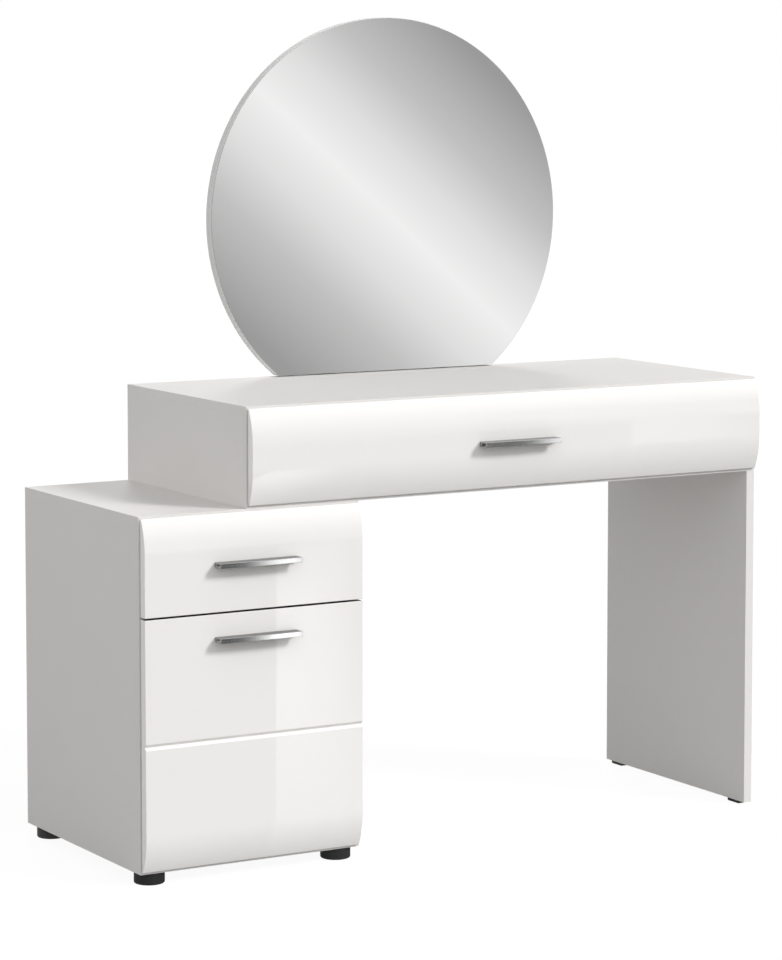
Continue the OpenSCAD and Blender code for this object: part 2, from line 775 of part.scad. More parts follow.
// Fixed channel with the pin of the front roller and a stop for the rear roller
module fixed_runner(d, k) {
    end_y = runner_setback + runner_l;
    lip_y = front_roller_y + roller_d;
    color(WHITE) at_runner(d, k) {
        difference() {
            block([0, runner_setback, -runner_steel], [runner_steel, end_y, lip_z + runner_steel]);
            for (y = runner_hole_y) {
                taper([runner_steel, y, runner_hole_z], [-runner_steel, 0, 0],
                    runner_head_d + 2 * play, runner_shank_d + 2 * play);
                rod([-past, y, runner_hole_z], [runner_steel + 2 * past, 0, 0], runner_shank_d + 2 * play);
            }
        }
        block([0, runner_setback, -runner_steel], [channel_w, end_y, 0]);
        block([0, lip_y, lip_z], [lip_w, end_y, lip_z + runner_steel]);
        block([rear_roller_x, stop_y - stop_t, -runner_steel], [channel_w, stop_y, stop_h]);
        rod([0, front_roller_y, front_axis_z], [front_roller_x - pass_gap, 0, 0], pin_head_d);
        rod([0, front_roller_y, front_axis_z],
            [front_roller_x + roller_w + pass_gap + pin_head_t, 0, 0], roller_pin_d);
        rod([front_roller_x + roller_w + pass_gap, front_roller_y, front_axis_z],
            [pin_head_t, 0, 0], pin_head_d);
    }
}

// Runner under the drawer's side, with the track and the pin of the rear roller
module drawer_runner(d, k) {
    start_y = front_back_y + runner_setback;
    web_x = runner_w - runner_steel;
    color(WHITE) at_runner(d, k) {
        block([web_x, start_y, -runner_steel], [runner_w, side_end_y, track_z + runner_steel]);
        block([web_x, start_y, -runner_steel], [runner_w + flange_w, side_end_y, 0]);
        block([runner_steel + 3 * pass_gap, start_y, track_z], [runner_w, side_end_y, track_z + runner_steel]);
        rod([web_x, rear_roller_y, rear_axis_z],
            [rear_roller_x + roller_w + pass_gap - web_x, 0, 0], pin_head_d);
        rod([web_x, rear_roller_y, rear_axis_z],
            [rear_roller_x - pass_gap - pin_head_t - web_x, 0, 0], roller_pin_d);
        rod([rear_roller_x - pass_gap, rear_roller_y, rear_axis_z], [-pin_head_t, 0, 0], pin_head_d);
    }
}

// Nylon roller with a turned-down hub on each side, its near face at x
module roller(x, y, z) {
    hub = 0.5;
    difference() {
        union() {
            rod([x, y, z], [roller_w, 0, 0], roller_d - 4);
            rod([x + hub, y, z], [roller_w - 2 * hub, 0, 0], roller_d);
        }
        rod([x - past, y, z], [roller_w + 2 * past, 0, 0], roller_pin_d + 2 * pin_play);
    }
}

module front_rollers(d) {
    color(NYLON) for (k = [0, 1]) at_runner(d, k) roller(front_roller_x, front_roller_y, front_axis_z);
}

module rear_rollers(d) {
    color(NYLON) for (k = [0, 1]) at_runner(d, k) roller(rear_roller_x, rear_roller_y, rear_axis_z);
}

module small_fixed_runner_left() { fixed_runner(SMALL, 0); }
module small_fixed_runner_right() { fixed_runner(SMALL, 1); }
module small_drawer_runner_left() { drawer_runner(SMALL, 0); }
module small_drawer_runner_right() { drawer_runner(SMALL, 1); }
module small_front_rollers() { front_rollers(SMALL); }
module small_rear_rollers() { rear_rollers(SMALL); }
module deep_fixed_runner_left() { fixed_runner(DEEP, 0); }
module deep_fixed_runner_right() { fixed_runner(DEEP, 1); }
module deep_drawer_runner_left() { drawer_runner(DEEP, 0); }
module deep_drawer_runner_right() { drawer_runner(DEEP, 1); }
module deep_front_rollers() { front_rollers(DEEP); }
module deep_rear_rollers() { rear_rollers(DEEP); }
module wide_fixed_runner_left() { fixed_runner(WIDE, 0); }
module wide_fixed_runner_right() { fixed_runner(WIDE, 1); }
module wide_drawer_runner_left() { drawer_runner(WIDE, 0); }
module wide_drawer_runner_right() { drawer_runner(WIDE, 1); }
module wide_front_rollers() { front_rollers(WIDE); }
module wide_rear_rollers() { rear_rollers(WIDE); }

table_top();
box_side_left();
box_bottom();
box_back();
leg_panel();
leg_gliders();
pedestal_top();
pedestal_bottom();
pedestal_side_left();
pedestal_side_right();
pedestal_back();
pedestal_feet();
mirror_board();
mirror_glass();
mirror_plates();
mirror_screws();
cam_locks();
cam_bolts();
dowels();
joining_screws();
runner_screws();
small_drawer_front();
small_drawer_side_left();
small_drawer_side_right();
small_drawer_back();
small_drawer_bottom();
small_handle();
small_handle_screws();
small_fixed_runner_left();
small_fixed_runner_right();
small_drawer_runner_left();
small_drawer_runner_right();
small_front_rollers();
small_rear_rollers();
deep_drawer_front();
deep_drawer_side_left();
deep_drawer_side_right();
deep_drawer_back();
deep_drawer_bottom();
deep_handle();
deep_handle_screws();
deep_fixed_runner_left();
deep_fixed_runner_right();
deep_drawer_runner_left();
deep_drawer_runner_right();
deep_front_rollers();
deep_rear_rollers();
wide_drawer_front();
wide_drawer_side_left();
wide_drawer_side_right();
wide_drawer_back();
wide_drawer_bottom();
wide_handle();
wide_handle_screws();
wide_fixed_runner_left();
wide_fixed_runner_right();
wide_drawer_runner_left();
wide_drawer_runner_right();
wide_front_rollers();
wide_rear_rollers();
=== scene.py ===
"""Dressing table: the looks of a drawer pedestal, a wide drawer box and a round mirror.

Boards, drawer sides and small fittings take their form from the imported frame, with eased
edges. The curved fronts, the handles, the mirror and the feet are modelled on the frame's
boxes. Every finish is made of nodes. Lengths are in metres.
"""

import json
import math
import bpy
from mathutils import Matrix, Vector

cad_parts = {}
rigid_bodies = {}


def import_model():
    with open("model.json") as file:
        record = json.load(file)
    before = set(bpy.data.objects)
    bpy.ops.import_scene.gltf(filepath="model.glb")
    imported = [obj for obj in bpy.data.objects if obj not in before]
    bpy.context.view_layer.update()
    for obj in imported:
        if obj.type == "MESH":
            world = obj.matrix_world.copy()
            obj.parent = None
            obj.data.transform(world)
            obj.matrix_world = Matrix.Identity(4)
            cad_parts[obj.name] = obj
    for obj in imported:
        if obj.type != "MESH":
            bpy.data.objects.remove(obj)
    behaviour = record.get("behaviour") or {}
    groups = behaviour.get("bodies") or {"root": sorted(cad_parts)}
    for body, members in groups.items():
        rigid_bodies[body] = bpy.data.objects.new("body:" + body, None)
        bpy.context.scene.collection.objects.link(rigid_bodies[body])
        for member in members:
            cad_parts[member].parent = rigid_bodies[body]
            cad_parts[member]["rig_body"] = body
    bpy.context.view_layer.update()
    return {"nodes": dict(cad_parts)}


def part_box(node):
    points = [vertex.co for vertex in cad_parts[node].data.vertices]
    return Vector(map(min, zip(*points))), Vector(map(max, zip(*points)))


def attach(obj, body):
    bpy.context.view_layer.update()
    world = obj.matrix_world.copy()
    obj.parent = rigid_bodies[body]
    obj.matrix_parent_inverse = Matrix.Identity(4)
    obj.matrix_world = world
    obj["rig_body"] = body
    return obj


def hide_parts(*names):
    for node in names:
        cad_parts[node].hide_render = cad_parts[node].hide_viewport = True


bl_info = {
    "name": "Dressing Table",
    "version": (1, 0, 0),
    "blender": (4, 5, 0),
    "location": "3D View > Sidebar > Dressing Table",
    "description": "Boards, gloss fronts, handles, mirror and feet of a dressing table",
    "category": "Add Mesh",
}

import bmesh
import bpy
from bpy.props import FloatProperty, FloatVectorProperty, IntProperty, PointerProperty
from mathutils import Matrix, Vector

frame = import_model()

X, Z = Vector((1, 0, 0)), Vector((0, 0, 1))
DRAWERS = ("small", "deep", "wide")

# Points within this distance of a level lie on it
NEAR = 0.00001
# Packed points within this distance are one point
MERGED = 0.000002
# A face looks along an axis where its normal has more than this of the axis
FACING = 0.99
# Faces larger than this area are flat
LARGE_FACE = 0.005
# Widths of the broken edges of sheet metal and of the gliders
METAL_EASE = 0.0003
GLIDER_EASE = 0.0004


# Sizes and colours that a user may change


class TableShape(bpy.types.PropertyGroup):
    """Sizes of the details that the frame's boxes don't give."""

    board_ease: FloatProperty(
        name="Board ease", description="Width of the eased edges of the boards",
        default=0.0003, unit="LENGTH")
    wrap_ease: FloatProperty(
        name="Wrapped ease", description="Width of the eased edges of the foil-wrapped drawer sides",
        default=0.0012, unit="LENGTH")
    front_edge: FloatProperty(
        name="Front edge", description="Thickness of a front at a curved edge",
        default=0.003, unit="LENGTH")
    front_curve: FloatProperty(
        name="Front curve", description="Height over which a front curves back",
        default=0.06, unit="LENGTH")
    front_ease: FloatProperty(
        name="Front ease", description="Width of the rounded edges of the fronts",
        default=0.0008, unit="LENGTH")
    groove_width: FloatProperty(
        name="Groove width", description="Width of the groove milled across the deep front",
        default=0.009, unit="LENGTH")
    groove_depth: FloatProperty(
        name="Groove depth", description="Depth of the groove milled across the deep front",
        default=0.0045, unit="LENGTH")
    groove_rise: FloatProperty(
        name="Groove rise", description="From the deep front's lower edge up to its groove",
        default=0.204, unit="LENGTH")
    handle_rail: FloatProperty(
        name="Handle rail", description="Depth of the rail that lies against the front",
        default=0.007, unit="LENGTH")
    handle_plate: FloatProperty(
        name="Handle plate", description="Thickness of a handle's top plate",
        default=0.0022, unit="LENGTH")
    handle_lip: FloatProperty(
        name="Handle lip", description="Thickness of a handle's front lip",
        default=0.0026, unit="LENGTH")
    handle_bow: FloatProperty(
        name="Handle bow", description="How far a handle's front edge bows out in its middle",
        default=0.002, unit="LENGTH")
    handle_ease: FloatProperty(
        name="Handle ease", description="Width of the rounded edges of a handle",
        default=0.0004, unit="LENGTH")
    board_rim_ease: FloatProperty(
        name="Mirror board ease", description="Width of the rounded rim of the mirror's board",
        default=0.0006, unit="LENGTH")
    glass_arris: FloatProperty(
        name="Glass arris", description="Width of the ground arris round the mirror glass",
        default=0.001, unit="LENGTH")
    foot_diameter: FloatProperty(
        name="Foot diameter", description="Diameter of a round foot",
        default=0.05, unit="LENGTH")
    foot_rim: FloatProperty(
        name="Foot rim", description="Radius of a foot's lower rim",
        default=0.0028, unit="LENGTH")
    spigot_diameter: FloatProperty(
        name="Spigot diameter", description="Diameter of the spigot on top of a foot",
        default=0.008, unit="LENGTH")
    arc_steps: IntProperty(
        name="Arc steps", description="Steps in the curved edge of a front", default=30)
    round_steps: IntProperty(
        name="Round steps", description="Steps round the mirror", default=288)


class TableColours(bpy.types.PropertyGroup):
    """Colours of the finishes."""

    melamine: FloatVectorProperty(
        name="Melamine", description="White melamine of the boards", subtype="COLOR",
        size=4, default=(0.858, 0.84, 0.82, 1))
    band: FloatVectorProperty(
        name="Edge band", description="White edge band of the boards", subtype="COLOR",
        size=4, default=(0.85, 0.832, 0.812, 1))
    gloss: FloatVectorProperty(
        name="Gloss front", description="High-gloss white of the fronts", subtype="COLOR",
        size=4, default=(0.935, 0.917, 0.897, 1))
    metal: FloatVectorProperty(
        name="Handle metal", description="Satin metal of the handles", subtype="COLOR",
        size=4, default=(0.38, 0.38, 0.38, 1))
    zinc: FloatVectorProperty(
        name="Zinc", description="Zinc plating of the plates and screws", subtype="COLOR",
        size=4, default=(0.60, 0.61, 0.62, 1))
    powder: FloatVectorProperty(
        name="Powder coat", description="White powder coat of the runners", subtype="COLOR",
        size=4, default=(0.82, 0.82, 0.80, 1))
    nylon: FloatVectorProperty(
        name="Nylon", description="Natural nylon of the rollers", subtype="COLOR",
        size=4, default=(0.80, 0.80, 0.76, 1))
    black: FloatVectorProperty(
        name="Black plastic", description="Moulded plastic of the feet", subtype="COLOR",
        size=4, default=(0.010, 0.010, 0.0105, 1))
    silver: FloatVectorProperty(
        name="Mirror silver", description="Silver of the mirror seen through its glass",
        subtype="COLOR", size=4, default=(0.885, 0.885, 0.882, 1))
    glass: FloatVectorProperty(
        name="Glass edge", description="Polished edge of the mirror glass", subtype="COLOR",
        size=4, default=(0.82, 0.85, 0.84, 1))
    beech: FloatVectorProperty(
        name="Beech", description="Beech of the dowels", subtype="COLOR",
        size=4, default=(0.60, 0.42, 0.25, 1))


class StudioSetup(bpy.types.PropertyGroup):
    """Camera and light, fitted to the photograph."""

    camera_place: FloatVectorProperty(
        name="Camera place", description="Where the camera stands", subtype="TRANSLATION",
        unit="LENGTH", default=(-2.9523, -5.0138, 1.3286))
    camera_pitch: FloatProperty(
        name="Camera pitch", description="How far the camera looks down", subtype="ANGLE",
        default=math.radians(4.775))
    camera_turn: FloatProperty(
        name="Camera turn", description="How far the camera is turned to the right",
        subtype="ANGLE", default=math.radians(30.297))
    lens: FloatProperty(
        name="Lens", description="Focal length in millimetres on a 36 mm frame", default=128.038)
    frame_shift: FloatProperty(
        name="Frame shift", description="Vertical shift of the frame", default=-0.15)
    mirror_lean: FloatProperty(
        name="Mirror lean", description="How far the mirror's reflections lean back",
        subtype="ANGLE", default=math.radians(3.3))
    key_lamp: FloatVectorProperty(
        name="Key lamp", description="Strength, degrees right of the front, height and width",
        size=4, default=(1.76, 38, 34, 14))
    rear_lamp: FloatVectorProperty(
        name="Rear lamp", description="Strength, degrees right of the front, height and width",
        size=4, default=(0.78, 155, 30, 14))
    front_lamp: FloatVectorProperty(
        name="Front lamp", description="Strength, degrees right of the front, height and width",
        size=4, default=(0.74, 5, 45, 80))
    fill_low: FloatProperty(
        name="Fill from the sides", description="Strength of the fill light at the horizon",
        default=0.46)
    fill_high: FloatProperty(
        name="Fill from above", description="Strength of the fill light from above", default=0.0)
    fill_front: FloatProperty(
        name="Fill from the front", description="Fill light added from the front", default=0.13)
    fill_left: FloatProperty(
        name="Fill from the left", description="Fill light added from the left", default=0.50)


# Node trees written as sums


class Wire:
    """A node's output, on which sums are written as Python expressions."""

    def __init__(self, nodes, socket):
        self.nodes = nodes
        self.socket = socket

    def maths(self, operation, first, second=0.0, clamp=False):
        """Adds one Math node."""
        return self.nodes.add(
            "ShaderNodeMath", {"operation": operation, "use_clamp": clamp}, {0: first, 1: second})

    def __add__(self, other):
        return self.maths("ADD", self, other)

    def __sub__(self, other):
        return self.maths("SUBTRACT", self, other)

    def __rsub__(self, other):
        return self.maths("SUBTRACT", other, self)

    def __mul__(self, other):
        return self.maths("MULTIPLY", self, other)

    def __truediv__(self, other):
        return self.maths("DIVIDE", self, other)

    def __pow__(self, other):
        return self.maths("POWER", self, other)

    __radd__ = __add__
    __rmul__ = __mul__

    def above(self, level):
        """1 where this value is above a level, 0 elsewhere."""
        return self.maths("GREATER_THAN", self, level)

    def larger(self, other):
        """The larger of this and another value."""
        return self.maths("MAXIMUM", self, other)

    def swung(self, reach):
        """This value folded to and fro between 0 and a reach."""
        return self.maths("PINGPONG", self, reach)

    def kept(self):
        """This value kept between 0 and 1."""
        return self.maths("ADD", self, 0.0, clamp=True)

    def risen(self, width):
        """0 below zero, 1 above a width, and a straight rise between them."""
        return (self / width).kept()


class Nodes:
    """A node tree that is built up node by node."""

    def __init__(self, tree):
        self.tree = tree

    def feed(self, socket, value):
        """Links a wire to a socket, or sets the socket's own value."""
        if isinstance(value, Wire):
            self.tree.links.new(value.socket, socket)
        else:
            socket.default_value = value

    def add(self, kind, settings=None, sockets=None, output=0):
        """Adds a node with its settings and the values or links of its sockets."""
        node = self.tree.nodes.new(kind)
        for name, value in (settings or {}).items():
            if name == "stops":
                self.set_stops(node.color_ramp.elements, value)
            else:
                setattr(node, name, value)
        for name, value in (sockets or {}).items():
            self.feed(node.inputs[name], value)
        return Wire(self, node.outputs[output])

    def set_stops(self, elements, stops):
        """Sets a ramp's stops, each a place and a colour."""
        while len(elements) < len(stops):
            elements.new(1.0)
        for element, (place, colour) in zip(elements, stops):
            element.position = place
            element.color = colour

    def mix(self, factor, first, second):
        """A colour between two colours."""
        return self.add(
            "ShaderNodeMix", {"data_type": "RGBA"}, {0: factor, 6: first, 7: second}, output=2)

    def part(self, vector, axis):
        """One part of a vector: X, Y or Z."""
        return self.add("ShaderNodeSeparateXYZ", {}, {0: vector}, output=axis)


class Finish(Nodes):
    """A material with one Principled shader whose looks vary over the piece's own space."""

    def __init__(self, name, **constants):
        self.material = bpy.data.materials.new(name)
        self.material.use_nodes = True
        super().__init__(self.material.node_tree)
        self.shader = self.tree.nodes["Principled BSDF"]
        self.surface = self.tree.nodes["Material Output"].inputs["Surface"]
        self.place = self.add("ShaderNodeTexCoord", output="Object")
        for socket, value in constants.items():
            self.set(socket.replace("_", " "), value)

    def set(self, socket, value):
        """Sets or links one socket of the shader."""
        self.feed(self.shader.inputs[socket], value)

    def stretched(self, scale):
        """The place on the piece, scaled by its own factor along each axis."""
        return self.add("ShaderNodeMapping", {}, {"Vector": self.place, "Scale": scale})

    def noise(self, scale, detail=2.0, place=None):
        """Noise between 0 and 1, with its scale in features per metre."""
        return self.add("ShaderNodeTexNoise", {}, {
            "Vector": place or self.place, "Scale": scale, "Detail": detail})

    def grains(self, scale, output):
        """Cells with their distance or their colour, with their scale in cells per metre."""
        return self.add("ShaderNodeTexVoronoi", {}, {"Vector": self.place, "Scale": scale}, output)

    def relief(self, height, distance):
        """Bumps the surface by a height between 0 and 1, over a distance in metres."""
        self.set("Normal", self.add("ShaderNodeBump", {}, {"Distance": distance, "Height": height}))


def tint(colour, factor):
    """A colour made lighter or darker."""
    return (colour[0] * factor, colour[1] * factor, colour[2] * factor, 1)


def colours():
    return bpy.context.scene.table_colours


def shape():
    return bpy.context.scene.table_shape


def studio():
    return bpy.context.scene.studio_setup


def made_once(layout):
    """Gives a finish its material the first time it is asked for, and the same one later."""
    name = layout.__name__

    def material():
        return bpy.data.materials.get(name) or layout(name).material

    return material


@made_once
def white_melamine(name):
    """Melamine with a fine pearl and a faint change of tone across the board."""
    finish = Finish(name, Specular_IOR_Level=0.12)
    tone = colours().melamine
    finish.set("Base Color", finish.mix(finish.noise(5), tint(tone, 0.985), tint(tone, 1.012)))
    pearl = finish.noise(1500, 3)
    finish.set("Roughness", 0.48 + finish.noise(90) * 0.10)
    finish.relief(pearl, 0.00003)
    return finish


@made_once
def edge_band(name):
    """Plastic band ironed onto the edges, a little smoother than the melamine."""
    finish = Finish(name, Specular_IOR_Level=0.2)
    tone = colours().band
    streaks = finish.noise(60, 3, finish.stretched((1, 1, 12)))
    finish.set("Base Color", finish.mix(streaks, tint(tone, 0.985), tint(tone, 1.01)))
    finish.set("Roughness", 0.46 + streaks * 0.10)
    finish.relief(finish.noise(900), 0.00002)
    return finish


@made_once
def chipboard(name):
    """Pressed wood chips, as bores and grooves and unbanded edges show them."""
    finish = Finish(name)
    chips = finish.grains(420, 1)
    fine = finish.noise(1400, 4)
    shade = finish.part(chips, 0) * 0.6 + fine * 0.4
    finish.set("Base Color", finish.add("ShaderNodeValToRGB", {"stops": [
        (0.15, (0.20, 0.12, 0.06, 1)),
        (0.45, (0.42, 0.29, 0.17, 1)),
        (0.85, (0.62, 0.48, 0.31, 1))]}, {0: shade}))
    finish.set("Roughness", 0.75 + fine * 0.2)
    finish.relief(shade, 0.0003)
    return finish


@made_once
def gloss_white(name):
    """High-gloss film with the faint orange peel of a pressed front."""
    finish = Finish(name)
    tone = colours().gloss
    finish.set("Base Color", finish.mix(finish.noise(7), tint(tone, 0.992), tint(tone, 1.006)))
    finish.set("Roughness", 0.012 + finish.noise(35) * 0.008)
    finish.relief(finish.noise(160, 1), 0.000001)
    return finish


@made_once
def dark_edge(name):
    """Painted shade: near-black on the two edges that face each other in the gap between two fronts,
    standing in for the shade inside that gap.
    """
    finish = Finish(name)
    streaks = finish.noise(40, 3, finish.stretched((1, 20, 20)))
    finish.set("Base Color", finish.mix(streaks, (0.030, 0.029, 0.028, 1), (0.055, 0.053, 0.051, 1)))
    finish.set("Roughness", 0.55 + streaks * 0.12)
    finish.relief(streaks, 0.00002)
    return finish


@made_once
def front_back(name):
    """Plain white backing on the inner side of a front."""
    finish = Finish(name)
    tone = colours().melamine
    finish.set("Base Color", finish.mix(finish.noise(8), tint(tone, 0.95), tone))
    finish.set("Roughness", 0.45 + finish.noise(120) * 0.12)
    finish.relief(finish.noise(1100, 3), 0.00004)
    return finish


@made_once
def brushed_metal(name):
    """Extruded metal with fine lines along the handle."""
    finish = Finish(name, Metallic=1.0, Specular_Tint=(0.6, 0.6, 0.6, 1))
    lines = finish.noise(1, 4, finish.stretched((25, 2600, 2600)))
    tone = colours().metal
    finish.set("Base Color", finish.mix(lines, tint(tone, 0.88), tint(tone, 1.1)))
    finish.set("Roughness", 0.12 + lines * 0.08)
    finish.relief(lines, 0.00001)
    return finish


@made_once
def zinc_steel(name):
    """Zinc plating with a dull, slightly clouded shine."""
    finish = Finish(name, Metallic=1.0)
    clouds = finish.noise(70, 4)
    tone = colours().zinc
    finish.set("Base Color", finish.mix(clouds, tint(tone, 0.85), tint(tone, 1.12)))
    finish.set("Roughness", 0.26 + clouds * 0.18)
    finish.relief(finish.noise(1800, 3), 0.00002)
    return finish


@made_once
def powder_coat(name):
    """White powder coat with its orange peel."""
    finish = Finish(name)
    tone = colours().powder
    finish.set("Base Color", finish.mix(finish.noise(25), tint(tone, 0.96), tint(tone, 1.02)))
    finish.set("Roughness", 0.36 + finish.noise(300) * 0.12)
    finish.relief(finish.noise(800), 0.00008)
    return finish


@made_once
def nylon(name):
    """Natural nylon with faint mould marks."""
    finish = Finish(name)
    tone = colours().nylon
    finish.set("Base Color", finish.mix(finish.noise(90, 3), tint(tone, 0.93), tint(tone, 1.03)))
    finish.set("Roughness", 0.42 + finish.noise(600) * 0.12)
    finish.relief(finish.noise(1500), 0.00003)
    return finish


@made_once
def black_plastic(name):
    """Moulded plastic with a fine grain and dusty high spots."""
    finish = Finish(name, Specular_IOR_Level=0.3)
    grain = finish.grains(1300, 0)
    dust = finish.noise(120, 4)
    tone = colours().black
    finish.set("Base Color", finish.mix(dust, tint(tone, 0.7), tint(tone, 1.5)))
    finish.set("Roughness", 0.46 + dust * 0.16)
    finish.relief(grain, 0.0001)
    return finish


@made_once
def mirror_silver(name):
    """Silver behind glass with a breath of haze. Its reflections lean back, as in the photograph."""
    finish = Finish(name, Metallic=1.0)
    tone = colours().silver
    finish.set("Base Color", finish.mix(finish.noise(3), tint(tone, 0.992), tone))
    finish.set("Roughness", 0.004 + finish.noise(9, 4) * 0.012)
    finish.relief(1.5 - finish.part(finish.place, 2), math.tan(studio().mirror_lean))
    return finish


@made_once
def glass_arris(name):
    """Ground arris round the glass."""
    finish = Finish(name)
    ground = finish.noise(2500, 2)
    finish.set("Base Color", finish.mix(ground, (0.42, 0.43, 0.425, 1), (0.52, 0.53, 0.525, 1)))
    finish.set("Roughness", 0.18 + ground * 0.14)
    finish.relief(ground, 0.000002)
    return finish


@made_once
def glass_edge(name):
    """Polished edge of the glass, grey-green from the depth of the sheet."""
    finish = Finish(name)
    tone = colours().glass
    depth = finish.noise(220, 2)
    finish.set("Base Color", finish.mix(depth, tint(tone, 0.85), tint(tone, 1.15)))
    finish.set("Roughness", 0.06 + depth * 0.06)
    finish.relief(finish.noise(700), 0.00001)
    return finish


@made_once
def painted_hardboard(name):
    """White lacquered face of a hardboard sheet."""
    finish = Finish(name)
    fibres = finish.noise(500, 4, finish.stretched((1, 1, 0.5)))
    finish.set("Base Color", finish.mix(fibres, (0.77, 0.77, 0.75, 1), (0.83, 0.83, 0.81, 1)))
    finish.set("Roughness", 0.48 + fibres * 0.14)
    finish.relief(fibres, 0.00005)
    return finish


@made_once
def raw_hardboard(name):
    """Brown pressed fibres with a woven screen mark."""
    finish = Finish(name)
    fibres = finish.noise(900, 5)
    screen = finish.grains(550, 0)
    finish.set("Base Color", finish.mix(fibres, (0.17, 0.10, 0.05, 1), (0.34, 0.22, 0.12, 1)))
    finish.set("Roughness", 0.7 + fibres * 0.2)
    finish.relief(screen * 0.6 + fibres * 0.4, 0.0002)
    return finish


@made_once
def beech_wood(name):
    """Beech with short dark flecks."""
    finish = Finish(name)
    tone = colours().beech
    flecks = finish.noise(1, 4, finish.stretched((900, 300, 300)))
    finish.set("Base Color", finish.mix(flecks, tint(tone, 0.7), tint(tone, 1.2)))
    finish.set("Roughness", 0.6 + flecks * 0.15)
    finish.relief(flecks, 0.0001)
    return finish


# Forms


def node_body(node):
    return frame["nodes"][node]["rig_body"]


def packed_form(node):
    """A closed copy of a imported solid, with its loose triangles merged into flat faces."""
    form = bmesh.new()
    form.from_mesh(frame["nodes"][node].data)
    bmesh.ops.remove_doubles(form, verts=form.verts, dist=MERGED)
    bmesh.ops.dissolve_limit(
        form, angle_limit=math.radians(0.5), verts=form.verts, edges=form.edges)
    return form


def rounded(form, edges, width, segments=2):
    """Rounds edges and returns the faces that this makes."""
    made = bmesh.ops.bevel(
        form, geom=list(edges), offset=width, offset_type="OFFSET", segments=segments,
        profile=0.5, affect="EDGES", clamp_overlap=True, material=-1)
    return made["faces"]


def lies_at(item, axis, level):
    """Whether an edge or a face lies on a level along an axis."""
    return all(abs(vert.co[axis] - level) < NEAR for vert in item.verts)


def outer_edges(form, low, high):
    """The edges that lie on the edges of a box."""
    found = []
    for edge in form.edges:
        sides = 0
        for axis in range(3):
            for level in (low[axis], high[axis]):
                sides += lies_at(edge, axis, level)
        if sides == 2:
            found.append(edge)
    return found


def sharp_edges(form, degrees):
    """The edges whose faces meet at more than an angle."""
    return [edge for edge in form.edges
            if len(edge.link_faces) == 2 and edge.calc_face_angle(0.0) > math.radians(degrees)]


def verts_among(items):
    """The points among what an operator returns."""
    return [item for item in items if isinstance(item, bmesh.types.BMVert)]


def push(form, faces, way):
    """Pushes flat faces along a vector, which makes them a solid."""
    pushed = bmesh.ops.extrude_face_region(form, geom=faces)
    bmesh.ops.translate(form, verts=verts_among(pushed["geom"]), vec=way)
    bmesh.ops.recalc_face_normals(form, faces=form.faces)


def cut(form, place, way, clear_outer=False):
    """Cuts a form along a plane, and takes away what lies outside where that is asked for."""
    bmesh.ops.bisect_plane(
        form, geom=form.verts[:] + form.edges[:] + form.faces[:], plane_co=place, plane_no=way,
        clear_outer=clear_outer)


def finished(name, form, nodes, materials, crease=12.0):
    """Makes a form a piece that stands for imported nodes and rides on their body."""
    mesh = bpy.data.meshes.new(name)
    form.to_mesh(mesh)
    form.free()
    for material in materials:
        mesh.materials.append(material)
    mesh.shade_smooth()
    mesh.set_sharp_from_angle(angle=math.radians(crease))
    for face in mesh.polygons:
        face.use_smooth = face.area < LARGE_FACE
    piece = bpy.data.objects.new(name, mesh)
    bpy.context.scene.collection.objects.link(piece)
    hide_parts(*nodes)
    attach(piece, node_body(nodes[0]))
    return piece


class Outline:
    """A closed outline that is drawn point by point and then pushed into a solid."""

    def __init__(self, start):
        self.form = bmesh.new()
        self.first = self.form.verts.new(start)
        self.last = self.first

    def line(self, end):
        """Draws a straight line."""
        point = self.form.verts.new(end)
        self.form.edges.new((self.last, point))
        self.last = point

    def arc(self, centre, angle, steps):
        """Draws an arc round an axis along X."""
        turned = bmesh.ops.spin(
            self.form, geom=[self.last], cent=centre, axis=X, dvec=(0, 0, 0), angle=angle,
            steps=steps, use_merge=False, use_duplicate=False)
        self.last = verts_among(turned["geom_last"])[0]

    def pushed(self, way):
        """Closes the outline and pushes it along a vector."""
        self.form.edges.new((self.last, self.first))
        filled = bmesh.ops.edgeloop_fill(self.form, edges=self.form.edges)
        push(self.form, filled["faces"], way)
        return self.form


# Boards

BANDED_SIDES = {
    "table_top": ("x", "X", "y", "Y"),
    "box_side_left": ("y", "Y"),
    "box_bottom": ("y", "Y"),
    "box_back": (),
    "leg_panel": ("y", "Y", "z"),
    "pedestal_top": ("x", "X", "y", "Y"),
    "pedestal_bottom": ("y", "Y"),
    "pedestal_side_left": ("y", "Y", "z"),
    "pedestal_side_right": ("y", "Y", "z"),
}


def side_of(face, low, high):
    """The side of a box that a face lies on: x, y or z for the low sides, X, Y or Z for the high."""
    for axis in range(3):
        for level, names in ((low[axis], "xyz"), (high[axis], "XYZ")):
            if lies_at(face, axis, level):
                return names[axis]
    return ""


def dress_board(node, banded, ease):
    """Dresses a board: melamine on its two faces, bands on some edges, chipboard elsewhere."""
    low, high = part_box(node)
    size = high - low
    thin = min(range(3), key=lambda axis: size[axis])
    form = packed_form(node)
    for face in form.faces:
        side = side_of(face, low, high)
        if side.lower() == "xyz"[thin]:
            face.material_index = 0
        else:
            face.material_index = 1 if side in banded else 2
    for face in rounded(form, outer_edges(form, low, high), ease):
        face.material_index = 1
    finished(node + "_dressed", form, [node],
             [white_melamine(), edge_band(), chipboard()])


def dress_hardboard(node, axis):
    """Dresses a hardboard sheet: white on its face, brown behind it and on its edges."""
    form = packed_form(node)
    low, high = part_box(node)
    face_side = -1 if node == "pedestal_back" else 1
    for face in form.faces:
        face.material_index = 0 if face.normal[axis] * face_side > 0.9 else 1
    rounded(form, outer_edges(form, low, high), shape().board_ease / 2, 1)
    finished(node + "_dressed", form, [node],
             [painted_hardboard(), raw_hardboard()])


